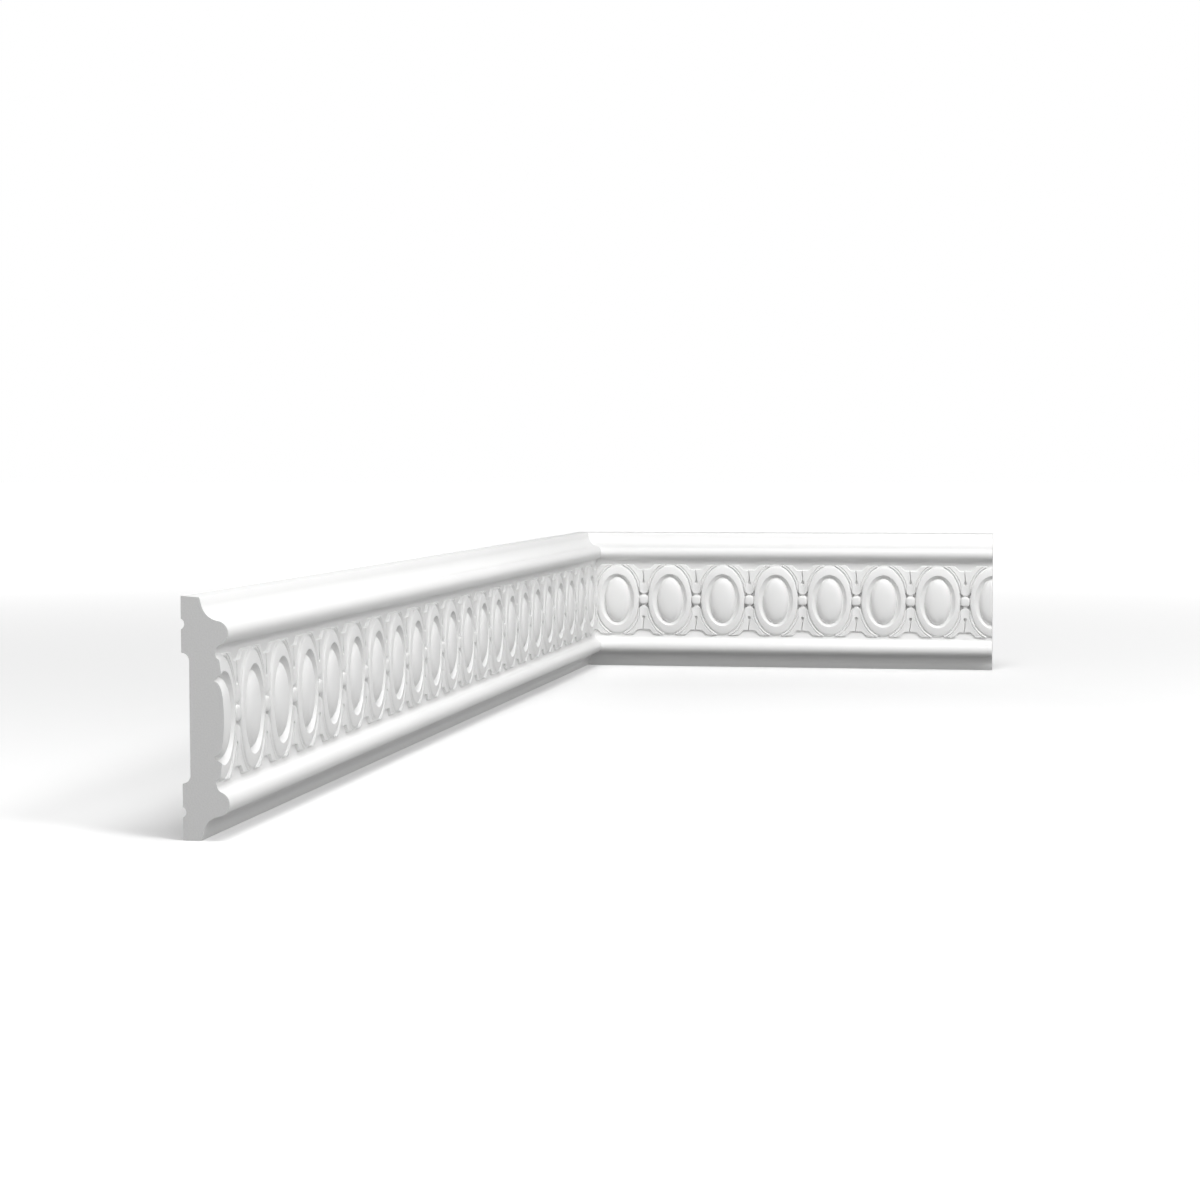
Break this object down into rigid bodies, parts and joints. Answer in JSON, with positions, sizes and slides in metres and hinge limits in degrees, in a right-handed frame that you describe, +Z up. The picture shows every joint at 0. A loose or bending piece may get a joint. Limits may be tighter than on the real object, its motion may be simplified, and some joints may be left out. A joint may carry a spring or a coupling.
{
  "type": "wall moulding",
  "caption": "Cast panel moulding for an inside wall corner: two mitred lengths with rolls, coves and a band of oval medallions between beads and husk leaves.",
  "frame": {"origin": "centre of the bounding box at the bottom edge", "axes": "+Z up, +Y along the long length towards the wall corner, +X along the short length away from the corner"},
  "size_m": [0.3236, 0.92, 0.105],
  "materials": {
    "side_wall_white": "white primed rigid polyurethane, satin matt",
    "back_wall_white": "white primed rigid polyurethane, satin matt"
  },
  "bodies": {
    "root": {"side_wall_moulding": "side_wall_white", "back_wall_moulding": "back_wall_white"}
  },
  "joints": []
}
